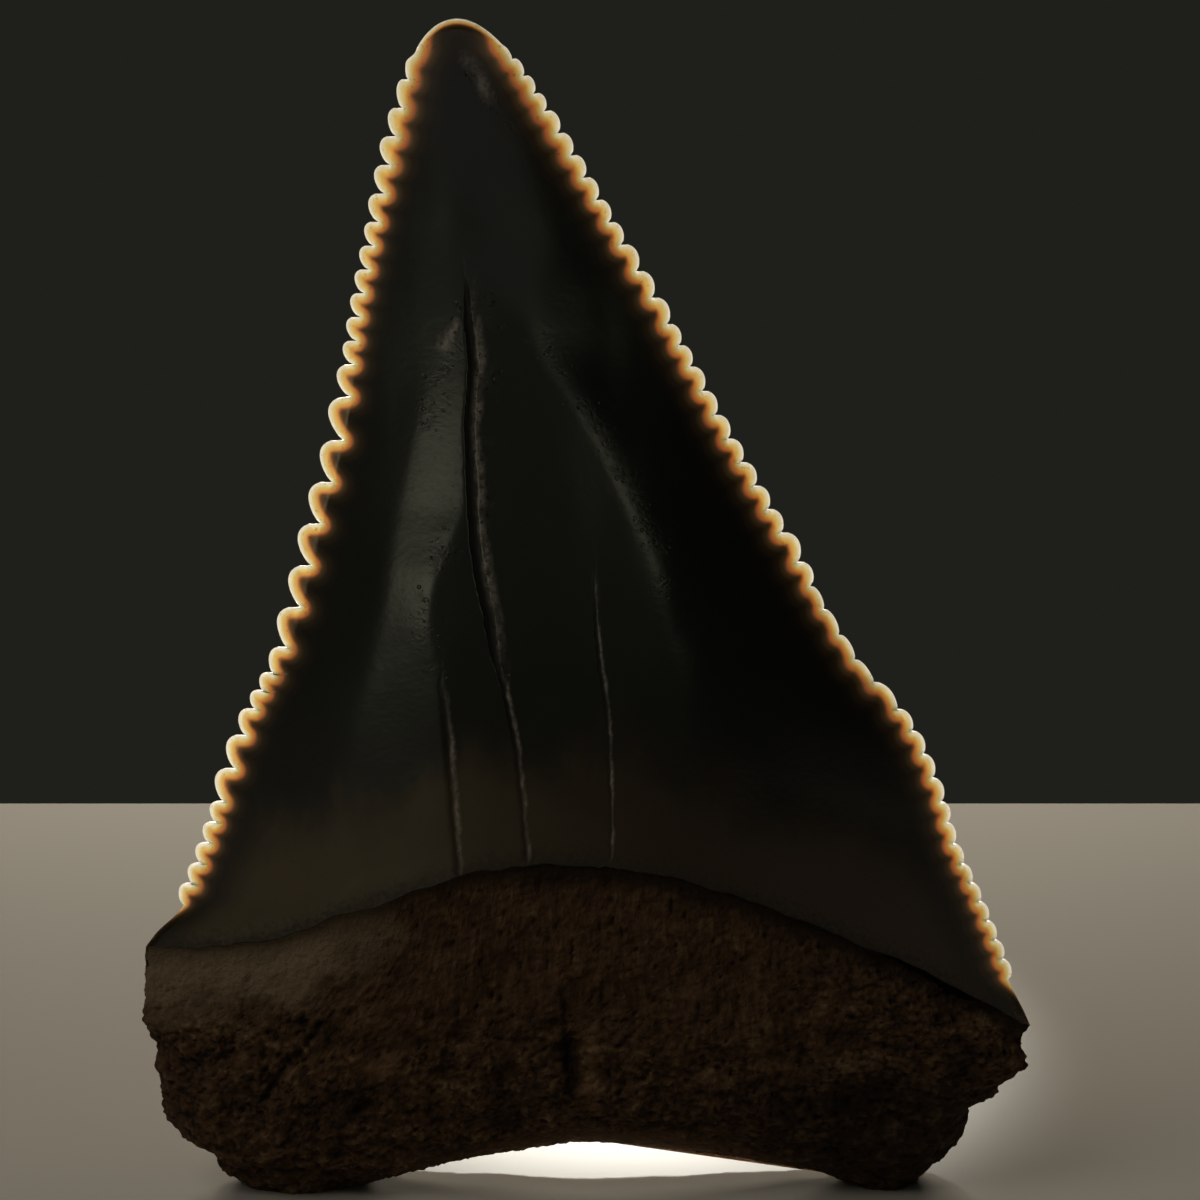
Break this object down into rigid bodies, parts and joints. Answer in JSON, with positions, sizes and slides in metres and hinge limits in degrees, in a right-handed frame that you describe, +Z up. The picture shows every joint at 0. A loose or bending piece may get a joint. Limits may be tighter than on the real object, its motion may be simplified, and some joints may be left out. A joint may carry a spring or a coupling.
{
  "type": "fossil great white shark tooth",
  "caption": "Fossil shark tooth, a triangular serrated enamel crown on an arched porous root, standing upright on the worn ends of its root lobes.",
  "frame": {"origin": "middle of the tooth's box, on the ground under its two root lobes", "axes": "+Z up to the tip, -Y out of the flat labial face, +Y out of the swollen lingual face, +X to the right seen from the labial face"},
  "size_m": [0.043, 0.0094, 0.0576],
  "materials": {
    "fossil_tooth": "glossy dark olive enamel with amber see-through serrations, rough umber root"
  },
  "bodies": {
    "root": {"tooth": "fossil_tooth"}
  },
  "joints": []
}
